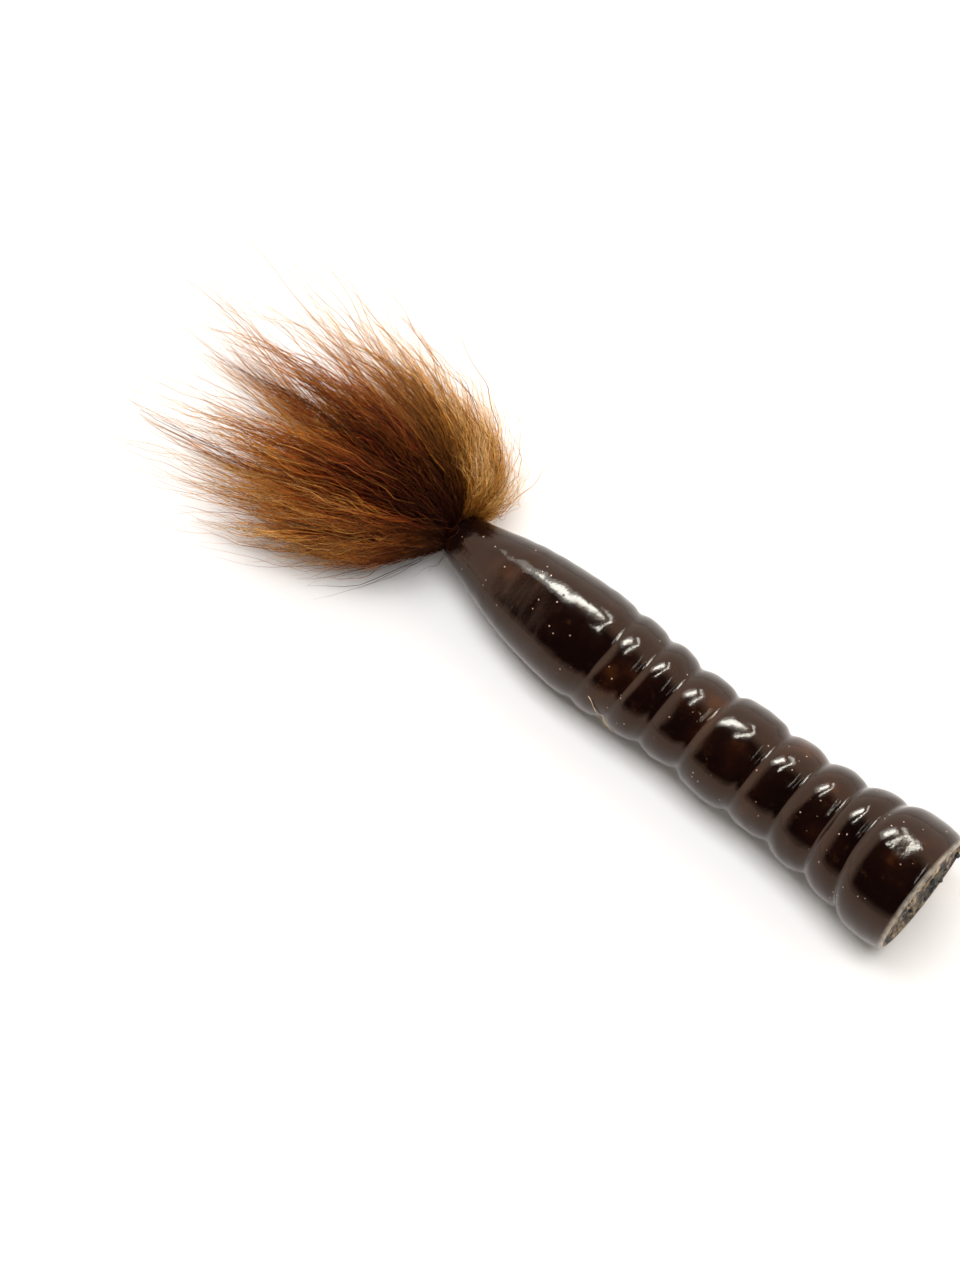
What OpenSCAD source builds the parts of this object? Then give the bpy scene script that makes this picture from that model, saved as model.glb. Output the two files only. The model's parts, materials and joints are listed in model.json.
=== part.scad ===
// Hand-formed calligraphy brush with a glazed stoneware handle and a splayed fur tuft.
// It lies on z = 0 with the handle towards +X and the tuft towards -X.

/* [Handle] */
// Length of the handle from its mouth to its tail face
handle_length = 110; // [100:1:125]
// Radius of the handle at the widest place of its tail
tail_radius = 12.5; // [12.3:0.1:13.5]
// Radius of the bullet-shaped nose at its rear
nose_radius = 10.6; // [10.2:0.1:11.2]
// Outer radius of the lip round the mouth
lip_radius = 4.3; // [4.2:0.1:4.7]
// Thickness of the fired glaze over the clay
glaze_thickness = 0.5; // [0.3:0.1:0.6]
// Radius of the bare, rough clay on the tail face
tail_face_radius = 10.6; // [9.5:0.1:10.8]

/* [Socket] */
// Radius of the blind hole that holds the hair
socket_radius = 3.2; // [3:0.1:3.25]
// Depth of the blind hole
socket_depth = 18.5; // [16:0.5:24]
// Radius of the tied hair root
root_radius = 2.5; // [2.3:0.1:2.6]
// Number of turns of thread round the hair root
thread_turns = 9; // [4:1:10]
// Radius of the thread
thread_radius = 0.25; // [0.15:0.05:0.25]

/* [Tuft] */
// Reach of the tuft beyond the mouth
tuft_length = 64; // [58:1:66]
// Distance from the mouth at which the tuft starts to bend upwards
bend_distance = 20; // [16:1:26]
// Gap between the two bending lengths of the tuft
bend_gap = 1; // [0.8:0.1:1.5]

/* [Hidden] */
$fn = 96;

// Stations along the handle, measured from its mouth.
nose_crest = 0.3 * handle_length;
groove_fractions = [0.33, 0.4, 0.471, 0.55, 0.656, 0.739, 0.817, 0.892];
grooves = [for (f = groove_fractions) f * handle_length];
groove_radii = [9.7, 9.1, 8.4, 8.4, 8.5, 8.7, 9.3, 10.4];
// One crest radius and one roundness for each ring between two grooves;
// a lower roundness makes a flatter, wider crest.
crest_radii = [10.5, 9.95, 9.6, 9.9, 9.9, 10.4, 11.3];
crest_roundness = [0.6, 0.6, 0.6, 0.35, 0.6, 0.6, 0.55];
ring_steps = 12;
nose_steps = 14;
shoulder_steps = 6;

// The straight land of the tail, where a sleeve or an end cap fits.
land_start = handle_length - 7;
land_end = handle_length - 3;
tail_edge_radius = tail_face_radius + glaze_thickness;
// The glaze rolls over the tail's edge, so the bare clay lies a little below its rim.
face_station = land_end + (handle_length - land_end) * sin(45);
face_recess = handle_length - face_station;

// The handle rests on its tail and on the rear of its nose, so it leans a little.
lean = atan((tail_radius - nose_radius) / (land_end - nose_crest));
mouth_z = nose_radius * cos(lean) - nose_crest * sin(lean);
// The brush is centred on x = 0.
tail_reach = handle_length * cos(lean) + tail_edge_radius * sin(lean);
mouth_x = (tuft_length - tail_reach) / 2;

// Colours
clay_brown = [0.30, 0.24, 0.19];
glaze_brown = [0.13, 0.055, 0.035];
grit_black = [0.06, 0.05, 0.045];
glue_amber = [0.55, 0.42, 0.22];
thread_cream = [0.72, 0.66, 0.52];
seal_black = [0.10, 0.07, 0.05];
core_brown = [0.17, 0.06, 0.03];
belly_brown = [0.40, 0.18, 0.06];
mantle_brown = [0.60, 0.33, 0.13];

function mix(a, b, t) = a + (b - a) * t;

// Outer surface of the handle as [station, radius] points, from mouth to tail.
function lip_points() = [
    [0, lip_radius - 0.4],
    [0.15, lip_radius - 0.15],
    [0.5, lip_radius]
];
function nose_points() = [
    for (i = [1:nose_steps])
        let (s = mix(0.5, nose_crest, i / nose_steps))
        [s, mix(lip_radius, nose_radius, sin(90 * s / nose_crest))]
];
function shoulder(s0, r0, s1, r1) = [
    for (i = [1:shoulder_steps])
        let (v = i / shoulder_steps)
        [mix(s0, s1, sin(90 * v)), mix(r1, r0, cos(90 * v))]
];
function ring_points(k) = [
    for (i = [1:ring_steps])
        let (
            u = i / ring_steps,
            base = mix(groove_radii[k], groove_radii[k + 1], u),
            rise = crest_radii[k] - (groove_radii[k] + groove_radii[k + 1]) / 2
        )
        [mix(grooves[k], grooves[k + 1], u), base + rise * pow(sin(180 * u), crest_roundness[k])]
];
function tail_rise() = [
    for (i = [1:shoulder_steps])
        let (v = i / shoulder_steps)
        [mix(grooves[7], land_start, 1 - cos(90 * v)), mix(groove_radii[7], tail_radius, sin(90 * v))]
];
outer_points = concat(
    lip_points(),
    nose_points(),
    shoulder(nose_crest, nose_radius, grooves[0], groove_radii[0]),
    [for (k = [0:len(crest_radii) - 1]) each ring_points(k)],
    tail_rise(),
    [[land_end, tail_radius]],
    shoulder(land_end, tail_radius, handle_length, tail_edge_radius)
);
// Clay surface under the glaze: the same stations at a smaller radius.
clay_points = [
    for (p = outer_points)
        if (p[0] < face_station + 0.01)
            [p[0], p[1] - glaze_thickness]
];

// Puts a shape drawn along +Z, mouth at the origin, where the handle lies.
module along_handle() {
    translate([mouth_x, 0, mouth_z])
        rotate([0, 90 - lean, 0])
            children();
}

// Revolves [station, radius] points about the handle's axis.
module revolve(points) {
    rotate_extrude()
        polygon([for (p = points) [p[1], p[0]]]);
}

module stoneware_body() {
    color(clay_brown)
        along_handle()
            difference() {
                revolve(concat([[0, 0]], clay_points, [[face_station, 0]]));
                translate([0, 0, -1])
                    cylinder(h = socket_depth + 1, r = socket_radius);
            }
}

module glaze_coat() {
    last = len(clay_points) - 1;
    color(glaze_brown)
        along_handle()
            revolve(concat(
                outer_points,
                [[handle_length, tail_face_radius], [face_station, tail_face_radius]],
                [for (i = [0:last]) clay_points[last - i]]
            ));
}

// A chip of kiln grit fired onto the tail face. What would sink into the clay or stand
// above the glaze rim is cut off.
grit_height = face_recess - 0.05;
module grit_chip(size, angle, distance) {
    intersection() {
        rotate([0, 0, angle])
            translate([distance, 0, face_station])
                rotate([angle, 35, 2 * angle])
                    cube([size, 0.7 * size, 0.8 * size], center = true);
        translate([0, 0, face_station])
            cylinder(h = grit_height, r = tail_face_radius - 0.1);
    }
}

module kiln_grit() {
    color(grit_black)
        along_handle() {
            grit_chip(1.9, 200, 9.2);
            grit_chip(1.5, 262, 8.6);
            grit_chip(1.0, 100, 7.9);
            grit_chip(0.9, 20, 5.2);
            grit_chip(1.2, 330, 8.8);
            grit_chip(0.8, 150, 3.6);
        }
}

seal_thickness = 1;
glue_pad = 0.5;
root_end = socket_depth - glue_pad;
thread_pitch = 2 * thread_radius;
thread_start = 8.75;
thread_band = thread_turns * thread_pitch;

// Adhesive that fills the socket round the hair root and its thread.
module socket_glue() {
    color(glue_amber)
        along_handle()
            difference() {
                translate([0, 0, 3])
                    cylinder(h = socket_depth - 3, r = socket_radius);
                translate([0, 0, 2])
                    cylinder(h = root_end - 2, r = root_radius);
                translate([0, 0, thread_start])
                    cylinder(h = thread_band, r = root_radius + thread_pitch);
            }
}

// The hairs' tied root, which comes out of the mouth as a short dome.
dome_radius = 3.9;
module hair_root() {
    color(core_brown)
        along_handle()
            union() {
                cylinder(h = root_end - seal_thickness, r = root_radius);
                intersection() {
                    sphere(r = dome_radius);
                    translate([0, 0, -dome_radius])
                        cylinder(h = dome_radius + 1, r = root_radius);
                }
            }
}

// Thread wound round the root in touching turns.
module root_thread() {
    color(thread_cream)
        along_handle()
            for (i = [0:thread_turns - 1])
                translate([0, 0, thread_start + (i + 0.5) * thread_pitch])
                    rotate_extrude()
                        translate([root_radius + thread_radius, 0])
                            circle(r = thread_radius, $fn = 24);
}

// Butt of the root, closed with scorched resin.
module root_seal() {
    color(seal_black)
        along_handle()
            translate([0, 0, root_end - seal_thickness])
                cylinder(h = seal_thickness, r = root_radius);
}

// The tuft is drawn in shells round the mouth's centre, so that it can swing about that
// point with no change to the gaps. For a distance d from the mouth these give, in
// degrees, half the fan's spread, and how high and how low the fur goes.
function spread(d) = lookup(d, [
    [4.3, 50], [8, 62], [13, 62], [20, 57], [30, 49], [40, 43], [50, 35], [57, 25], [62, 13], [66, 5]
]);
function upper(d) = lookup(d, [
    [4.3, 46], [8, 60], [13, 60], [20, 49], [30, 31], [40, 18], [50, 8], [57, 3], [62, -1], [66, -3]
]);
function lower(d) = lookup(d, [
    [4.3, -46], [8, -56], [13, -60], [20, -54], [30, -44], [40, -34], [50, -24], [57, -16], [62, -9], [66, -6]
]);

tuft_sides = 28;
fur_floor = 6;
// Direction angles on shell d, for a layer that takes the share k of the full tuft.
function fan_angle(d, k, t) = k * spread(d) * cos(t);
function rise_angle(d, k, t) =
    (upper(d) + lower(d)) / 2 + k * (upper(d) - lower(d)) / 2 * sin(t);
// The fur never sinks below the table; inner layers stay above the outer ones.
function table_angle(d, k) =
    let (drop = (mouth_z - (1 - k) * fur_floor) / d)
    drop >= 1 ? -90 : -asin(drop);
function tuft_point(d, k, t) =
    let (
        rise = max(rise_angle(d, k, t), table_angle(d, k)),
        fan = fan_angle(d, k, t)
    )
    [mouth_x - d * cos(rise) * cos(fan), d * cos(rise) * sin(fan), mouth_z + d * sin(rise)];
function tuft_loop(d, k) = [for (j = [0:tuft_sides - 1]) tuft_point(d, k, 360 * j / tuft_sides)];
function tuft_middle(d) = tuft_point(d, 0, 0);

// Side faces between loop a and loop b of a stack of loops.
function band(a, b) = [
    for (j = [0:tuft_sides - 1])
        let (n = (j + 1) % tuft_sides)
        each [
            [a * tuft_sides + j, a * tuft_sides + n, b * tuft_sides + n],
            [a * tuft_sides + j, b * tuft_sides + n, b * tuft_sides + j]
        ]
];
function turned(faces) = [for (f = faces) [f[2], f[1], f[0]]];
// Fan of faces from a loop to the single point with the given number.
function cap(a, point) = [
    for (j = [0:tuft_sides - 1])
        [a * tuft_sides + j, a * tuft_sides + (j + 1) % tuft_sides, point]
];

// Solid bundle of hair over the given distances from the mouth.
module hair_bundle(distances, share) {
    last = len(distances) - 1;
    loops = [for (d = distances) each tuft_loop(d, share)];
    near_point = (last + 1) * tuft_sides;
    polyhedron(
        points = concat(loops, [tuft_middle(distances[0]), tuft_middle(distances[last])]),
        faces = concat(
            [for (i = [0:last - 1]) each band(i, i + 1)],
            turned(cap(0, near_point)),
            cap(last, near_point + 1)
        )
    );
}

// Hollow layer of hair between two shares of the tuft.
module hair_layer(distances, inner_share, outer_share) {
    count = len(distances);
    outer_loops = [for (d = distances) each tuft_loop(d, outer_share)];
    inner_loops = [for (d = distances) each tuft_loop(d, inner_share)];
    polyhedron(
        points = concat(outer_loops, inner_loops),
        faces = concat(
            [for (i = [0:count - 2]) each band(i, i + 1)],
            [for (i = [0:count - 2]) each turned(band(count + i, count + i + 1))],
            turned(band(0, count)),
            band(count - 1, 2 * count - 1)
        )
    );
}

root_distances = [for (i = [0:6]) mix(4.3, bend_distance, i / 6)];
tip_start = bend_distance + bend_gap;
function tip_distances(reach) = [for (i = [0:9]) mix(tip_start, reach, i / 9)];

core_share = 0.4;
belly_inner = 0.46;
belly_outer = 0.66;
mantle_inner = 0.74;
belly_reach = tuft_length - 3;
core_reach = tuft_length - 6;

module core_hair_base() {
    color(core_brown)
        hair_bundle(root_distances, core_share);
}

module belly_hair_base() {
    color(belly_brown)
        hair_layer(root_distances, belly_inner, belly_outer);
}

module mantle_hair_base() {
    color(mantle_brown)
        hair_layer(root_distances, mantle_inner, 1);
}

module core_hair_tip() {
    color(core_brown)
        hair_bundle(tip_distances(core_reach), core_share);
}

module belly_hair_tip() {
    color(belly_brown)
        hair_layer(tip_distances(belly_reach), belly_inner, belly_outer);
}

module mantle_hair_tip() {
    color(mantle_brown)
        hair_layer(tip_distances(tuft_length), mantle_inner, 1);
}

stoneware_body();
glaze_coat();
kiln_grit();
socket_glue();
hair_root();
root_thread();
root_seal();
core_hair_base();
belly_hair_base();
mantle_hair_base();
core_hair_tip();
belly_hair_tip();
mantle_hair_tip();
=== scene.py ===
"""Looks of the calligraphy brush: a glossy hand-formed stoneware handle and a splayed tuft of tail fur."""
import json
import math

import bmesh
import bpy
import numpy as np
from mathutils import Matrix, Vector


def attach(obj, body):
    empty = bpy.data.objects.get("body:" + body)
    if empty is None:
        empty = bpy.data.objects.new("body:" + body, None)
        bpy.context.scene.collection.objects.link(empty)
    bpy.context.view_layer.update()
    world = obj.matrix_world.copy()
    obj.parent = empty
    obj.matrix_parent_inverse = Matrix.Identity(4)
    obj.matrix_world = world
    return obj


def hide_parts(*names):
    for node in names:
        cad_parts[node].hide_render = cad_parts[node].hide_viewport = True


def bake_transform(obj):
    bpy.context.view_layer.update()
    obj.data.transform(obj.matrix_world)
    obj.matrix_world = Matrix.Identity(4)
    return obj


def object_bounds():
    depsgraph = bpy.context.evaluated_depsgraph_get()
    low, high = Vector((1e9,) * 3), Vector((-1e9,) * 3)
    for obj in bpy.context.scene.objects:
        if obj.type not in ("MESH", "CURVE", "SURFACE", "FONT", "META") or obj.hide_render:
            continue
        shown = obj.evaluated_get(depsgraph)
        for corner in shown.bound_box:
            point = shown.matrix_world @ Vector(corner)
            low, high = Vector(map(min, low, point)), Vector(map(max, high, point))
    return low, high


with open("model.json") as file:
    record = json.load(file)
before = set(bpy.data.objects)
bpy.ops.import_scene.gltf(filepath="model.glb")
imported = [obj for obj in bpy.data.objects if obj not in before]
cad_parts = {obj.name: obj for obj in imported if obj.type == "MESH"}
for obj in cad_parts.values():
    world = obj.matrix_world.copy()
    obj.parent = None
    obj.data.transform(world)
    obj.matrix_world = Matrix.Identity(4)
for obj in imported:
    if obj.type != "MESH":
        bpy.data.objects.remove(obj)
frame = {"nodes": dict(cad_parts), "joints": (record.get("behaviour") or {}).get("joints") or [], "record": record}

cad_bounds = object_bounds()
MM = 0.001
SEED = 7
PHASES = 6.3             # the ripples' random phases run from 0 to this, in radians
ROUGH_PHASES = 6.0       # and those of the clay, the crumbs and the fibres from 0 to this

# ---------------------------------------------------------------- places taken from the frame
joints = {joint["name"]: joint for joint in frame["joints"]}
mounts = {mount["name"]: mount for mount in frame["record"]["mounts"]}
mouth = np.array(joints["tuft_sway"]["pos_m"])
axis = np.array(mounts["tail_face"]["axis"])
axis = axis / np.linalg.norm(axis)
side = np.array([0.0, 1.0, 0.0])
upward = np.cross(axis, side)
handle_length = float((np.array(mounts["tail_face"]["pos_m"]) - mouth) @ axis)


def stations_of(node):
    """Station along the handle's axis and radius about it, in metres, of each vertex of a CAD node."""
    vertices = frame["nodes"][node].data.vertices
    points = np.zeros(len(vertices) * 3)
    vertices.foreach_get("co", points)
    offset = points.reshape(-1, 3) - mouth
    along = offset @ axis
    radius = np.linalg.norm(offset - np.outer(along, axis), axis=1)
    return along, radius


def outer_profile(node):
    """The node's outline: its largest radius at each station, from the mouth to the tail."""
    along, radius = stations_of(node)
    same_station = 0.02
    stations = np.unique(np.round(along / (same_station * MM))) * same_station * MM
    largest = np.array([radius[np.abs(along - s) < same_station * MM].max() for s in stations])
    return stations, largest


def hermite(x, xs, ys):
    """Smooth curve through the points (xs, ys)."""
    slope = np.gradient(ys, xs)
    i = np.clip(np.searchsorted(xs, x) - 1, 0, len(xs) - 2)
    step = xs[i + 1] - xs[i]
    t = np.clip((x - xs[i]) / step, 0, 1)
    a = (1 + 2 * t) * (1 - t) ** 2 * ys[i] + t * (1 - t) ** 2 * step * slope[i]
    b = t * t * (3 - 2 * t) * ys[i + 1] + t * t * (t - 1) * step * slope[i + 1]
    return a + b


def soften(values, sigma):
    """Gaussian smoothing over the given number of samples; the two ends stay as they are."""
    reach = int(math.ceil(3 * sigma))
    kernel = np.exp(-0.5 * (np.arange(-reach, reach + 1) / sigma) ** 2)
    padded = np.concatenate([np.full(reach, values[0]), values, np.full(reach, values[-1])])
    smooth = np.convolve(padded, kernel / kernel.sum(), mode="valid")
    smooth[:2], smooth[-2:] = values[:2], values[-2:]
    return smooth


# ---------------------------------------------------------------- small helpers
def smoothstep(low, high, x):
    """Rises smoothly from 0 at low to 1 at high."""
    t = np.clip((np.asarray(x, float) - low) / (high - low), 0, 1)
    return t * t * (3 - 2 * t)


def unit(v):
    """Vectors scaled to length 1."""
    return v / np.maximum(np.linalg.norm(v, axis=-1, keepdims=True), 1e-12)


def link(mesh, name):
    """A new piece in the scene with this mesh."""
    piece = bpy.data.objects.new(name, mesh)
    bpy.context.scene.collection.objects.link(piece)
    return piece


def mesh_from_arrays(name, points, quads, triangles=None):
    """A mesh from numpy arrays of points, quads and triangles."""
    triangles = np.zeros((0, 3), int) if triangles is None else triangles
    corners = np.concatenate([quads.ravel(), triangles.ravel()]).astype(np.int32)
    counts = np.concatenate([np.full(len(quads), 4), np.full(len(triangles), 3)]).astype(np.int32)
    starts = np.concatenate([[0], np.cumsum(counts)[:-1]]).astype(np.int32)
    mesh = bpy.data.meshes.new(name)
    mesh.vertices.add(len(points))
    mesh.vertices.foreach_set("co", np.asarray(points, np.float32).ravel())
    mesh.loops.add(len(corners))
    mesh.loops.foreach_set("vertex_index", corners)
    mesh.polygons.add(len(counts))
    mesh.polygons.foreach_set("loop_start", starts)
    mesh.update(calc_edges=True)
    mesh.polygons.foreach_set("use_smooth", np.ones(len(counts), bool))
    mesh.validate()
    return mesh


def grid_quads(rows, columns, close_rows=False):
    """Quads of a grid that is closed round its columns, and round its rows too if asked."""
    r = np.arange(rows if close_rows else rows - 1)
    c = np.arange(columns)
    rr, cc = np.meshgrid(r, c, indexing="ij")
    nr, nc = (rr + 1) % rows, (cc + 1) % columns
    corners = [rr * columns + cc, rr * columns + nc, nr * columns + nc, nr * columns + cc]
    return np.stack(corners, -1).reshape(-1, 4)


def ripple(seed, along, around, along_waves, around_waves, count=24):
    """Smooth random relief, about -1 to 1, on a surface of revolution; it closes round the axis."""
    rng = np.random.default_rng(seed)
    total = np.zeros(np.broadcast(along, around).shape)
    for _ in range(count):
        k = rng.integers(0, around_waves + 1)
        f = rng.uniform(0.2, 1) * along_waves
        lengthwise = np.sin(2 * np.pi * f * along + rng.uniform(0, PHASES))
        crosswise = np.cos(k * around + rng.uniform(0, PHASES))
        total = total + lengthwise * crosswise
    return total / math.sqrt(count) * 1.2


# ---------------------------------------------------------------- the handle's hand-made shape
profile_s, profile_r = outer_profile("glaze_coat")
glaze_gap = 0.5 * MM
face_station = float(stations_of("stoneware_body")[0].max())
rim_round = 0.55 * MM
rim_radius = float(np.interp(handle_length - rim_round, profile_s, profile_r))
face_radius = rim_radius - rim_round - 0.1 * MM
face_level = handle_length - 0.05 * MM
socket_radius = 3.2 * MM
socket_depth = 18.5 * MM
handle_columns = 192

# How far each groove's plane leans: towards the front and top of the handle, and sideways.
groove_share = [0.0, 0.15, 0.33, 0.4, 0.471, 0.55, 0.656, 0.739, 0.817, 0.892, 0.93, 0.96, 1.0]
front_lean_deg = [0, 4, 14, 12, 6, 4, 6, 0, -2, -10, -4, 1, 4]
side_lean_deg = [0, 0, 2.4, 3.9, 3.3, 4, 3, 1.7, -1, -2.5, -1, 0, 0]
front_angle = math.radians(110)
side_angle = front_angle - math.pi / 2
bow_height = 0.9 * MM
bow_share = 0.87
tail_setback = 1.2 * MM
swelling_mm = 0.16
dimpling_mm = 0.03


def handle_points(along, radius, around, relief=1.0):
    """Points of the handle at these stations, radii and angles, with the maker's unevenness."""
    share = along / handle_length
    front = np.tan(np.radians(np.interp(share, groove_share, front_lean_deg)))
    sideways = np.tan(np.radians(np.interp(share, groove_share, side_lean_deg)))
    shift = radius * (front * np.cos(around - front_angle) + sideways * np.cos(around - side_angle))
    uneven = swelling_mm * ripple(11, share, around, 7, 3) + dimpling_mm * ripple(12, share, around, 30, 9)
    near_mouth = smoothstep(0.01, 0.12, share)
    radius = radius + relief * near_mouth * uneven * MM
    bow = bow_height * np.sin(np.pi * np.clip(share / bow_share, 0, 1) ** 0.85)
    s = (along + shift - tail_setback * smoothstep(0.95, 1.0, share))[..., None]
    points = mouth + s * axis
    points = points + (radius * np.cos(around))[..., None] * side
    points = points + (radius * np.sin(around))[..., None] * upward
    points = points - bow[..., None] * side
    points[..., 2] = np.maximum(points[..., 2], 0.02 * MM)
    return points


def path_grid(path, columns):
    """Stations, radii and angles of a surface that turns a path of (station, radius) about the axis."""
    along = np.array([p[0] for p in path])[:, None]
    radius = np.array([p[1] for p in path])[:, None]
    around = np.linspace(0, 2 * np.pi, columns, endpoint=False)[None, :]
    return np.broadcast_arrays(along, radius, around)


def make_glaze():
    """The fired coat: a closed shell from inside the mouth, over the rings, to inside the tail rim."""
    step = 0.32 * MM
    blur = 0.55 * MM
    outer_s = np.arange(0.6 * MM, handle_length - rim_round, step)
    outer_r = soften(hermite(outer_s, profile_s, profile_r), blur / step)
    lip = profile_r[0]
    path = [(1.5 * MM, socket_radius + 0.05 * MM), (0.5 * MM, socket_radius + 0.08 * MM)]
    path += [(0.12 * MM, socket_radius + 0.25 * MM), (0.0, 0.5 * (socket_radius + lip) + 0.1 * MM)]
    path += [(0.08 * MM, lip), (0.3 * MM, lip + 0.22 * MM)]
    path += list(zip(outer_s, outer_r))
    for turn in np.linspace(0, math.pi / 2, 7):
        station = handle_length - rim_round * (1 - math.sin(turn))
        path.append((station, rim_radius - rim_round * (1 - math.cos(turn))))
    path += [(handle_length - 0.35 * MM, face_radius - 0.04 * MM)]
    path += [(face_station - 0.1 * MM, face_radius)]
    inner_s = np.arange(face_station - 0.3 * MM, 2 * MM, -2 * MM)
    inner_r = np.interp(inner_s, profile_s, profile_r) - 1.1 * glaze_gap
    path += list(zip(inner_s, np.maximum(inner_r, socket_radius + 0.3 * MM)))
    along, radius, around = path_grid(path, handle_columns)
    points = handle_points(along, radius, around)
    quads = grid_quads(len(path), handle_columns, close_rows=True)
    mesh = mesh_from_arrays("glaze_skin", points.reshape(-1, 3), quads)
    # tail_rim marks the rim, where the glaze material paints a pale band that is partly a painted highlight.
    at_rim = smoothstep(handle_length - 1.5 * rim_round, handle_length - 0.5 * rim_round, along)
    layer = mesh.attributes.new("tail_rim", "FLOAT", "POINT")
    layer.data.foreach_set("value", at_rim.astype(np.float32).ravel())
    return link(mesh, "glaze_skin")


def make_clay():
    """The clay core with its blind socket and its rough, torn tail face."""
    rings = 60
    outer_s = np.arange(2 * MM, face_station - 0.6 * MM, 2 * MM)
    outer_r = np.interp(outer_s, profile_s, profile_r) - 1.2 * glaze_gap
    path = [(socket_depth, 0.02 * MM), (socket_depth, socket_radius - 0.3 * MM)]
    path += [(socket_depth - 0.3 * MM, socket_radius), (3 * MM, socket_radius)]
    path += [(1.7 * MM, socket_radius + 0.02 * MM), (1.6 * MM, socket_radius + 0.2 * MM)]
    path += list(zip(outer_s, np.maximum(outer_r, socket_radius + 0.25 * MM)))
    path += [(face_level - 0.4 * MM, face_radius + 0.06 * MM)]
    face_r = np.linspace(face_radius - 0.02 * MM, 0.02 * MM, rings)
    first_face_row = len(path)
    path += [(face_level, r) for r in face_r]
    along, radius, around = path_grid(path, handle_columns)
    along = along.copy()
    face = slice(first_face_row, None)
    u = radius[face] * np.cos(around[face]) / face_radius
    v = radius[face] * np.sin(around[face]) / face_radius
    along[face] += (torn_relief(u, v) + 0.2) * MM * smoothstep(1.0, 0.965, radius[face] / face_radius)
    points = handle_points(along, radius, around, relief=0)
    quads = grid_quads(len(path), handle_columns)
    mesh = mesh_from_arrays("clay_core", points.reshape(-1, 3), quads)
    return link(mesh, "clay_core")


def torn_relief(u, v):
    """Height in millimetres of the broken clay at u, v, which run from -1 to 1 over the tail face."""
    ridge_mm, deepest_mm, highest_mm = 0.24, 1.2, 0.72
    rng = np.random.default_rng(SEED + 3)
    height = np.zeros(u.shape)
    for octave in range(5):
        scale = 3.0 * 1.9 ** octave
        for _ in range(7):
            direction = rng.normal(1.1, 0.55)
            wave = u * math.cos(direction) + v * math.sin(direction)
            crosswise = u * math.sin(direction) - v * math.cos(direction)
            bend = 0.35 * np.sin(2.3 * crosswise + rng.uniform(0, ROUGH_PHASES))
            ridge = 1 - np.abs(np.sin(scale * (wave + bend) + rng.uniform(0, ROUGH_PHASES)))
            height += (ridge ** 2 - 0.4) * ridge_mm / 1.55 ** octave
    return np.clip(height, -deepest_mm, highest_mm)


def make_crumb(name, centre, size, seed):
    """An angular crumb of fired grit."""
    rng = np.random.default_rng(seed)
    grid = bmesh.new()
    bmesh.ops.create_icosphere(grid, subdivisions=3, radius=1.0)
    points = np.array([v.co for v in grid.verts])
    cuts = unit(rng.normal(size=(9, 3)))
    depth = rng.uniform(0.5, 0.8, 9)
    for normal, d in zip(cuts, depth):
        over = np.maximum(points @ normal - d, 0)
        points = points - over[:, None] * normal
    points = points * rng.uniform(0.65, 1.15, 3)
    points = points + 0.04 * np.sin(9 * points[:, [1, 2, 0]] + rng.uniform(0, ROUGH_PHASES, 3))
    for vertex, point in zip(grid.verts, points):
        vertex.co = Vector(centre + point * size / 2)
    mesh = bpy.data.meshes.new(name)
    grid.to_mesh(mesh)
    grid.free()
    return mesh


def make_grit():
    """Crumbs on the tail face, joined into one piece."""
    rng = np.random.default_rng(SEED + 5)
    large_crumbs = [(1.3, -8, 0.95), (1.5, -46, 0.94), (0.9, -70, 0.95), (1.7, -20, 0.35), (1.2, 210, 0.3)]
    places = [(size, math.radians(angle_deg), share) for size, angle_deg, share in large_crumbs]
    small_crumbs = 22
    for _ in range(small_crumbs):
        places.append((rng.uniform(0.25, 0.7), rng.uniform(0, 2 * math.pi), rng.uniform(0.1, 0.93)))
    meshes = []
    for i, (size, angle, share) in enumerate(places):
        radius = share * face_radius
        u, v = np.array([share * math.cos(angle)]), np.array([share * math.sin(angle)])
        height = float(torn_relief(u, v)[0])
        along = face_level + height * MM + 0.38 * size * MM
        centre = handle_points(np.array([along]), np.array([radius]), np.array([angle]), relief=0)[0]
        meshes.append(make_crumb(f"crumb_{i}", centre, size * MM, SEED + 40 + i))
    return join_meshes(meshes, "grit_crumbs")


def join_meshes(meshes, name):
    """One piece made of several meshes, which are removed."""
    points, quads, triangles, start = [], [], [], 0
    for mesh in meshes:
        co = np.zeros(len(mesh.vertices) * 3)
        mesh.vertices.foreach_get("co", co)
        points.append(co.reshape(-1, 3))
        for polygon in mesh.polygons:
            (quads if len(polygon.vertices) == 4 else triangles).append([start + v for v in polygon.vertices])
        start += len(mesh.vertices)
        bpy.data.meshes.remove(mesh)
    quads = np.array(quads, int).reshape(-1, 4)
    triangles = np.array(triangles, int).reshape(-1, 3)
    return link(mesh_from_arrays(name, np.concatenate(points), quads, triangles), name)


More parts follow.
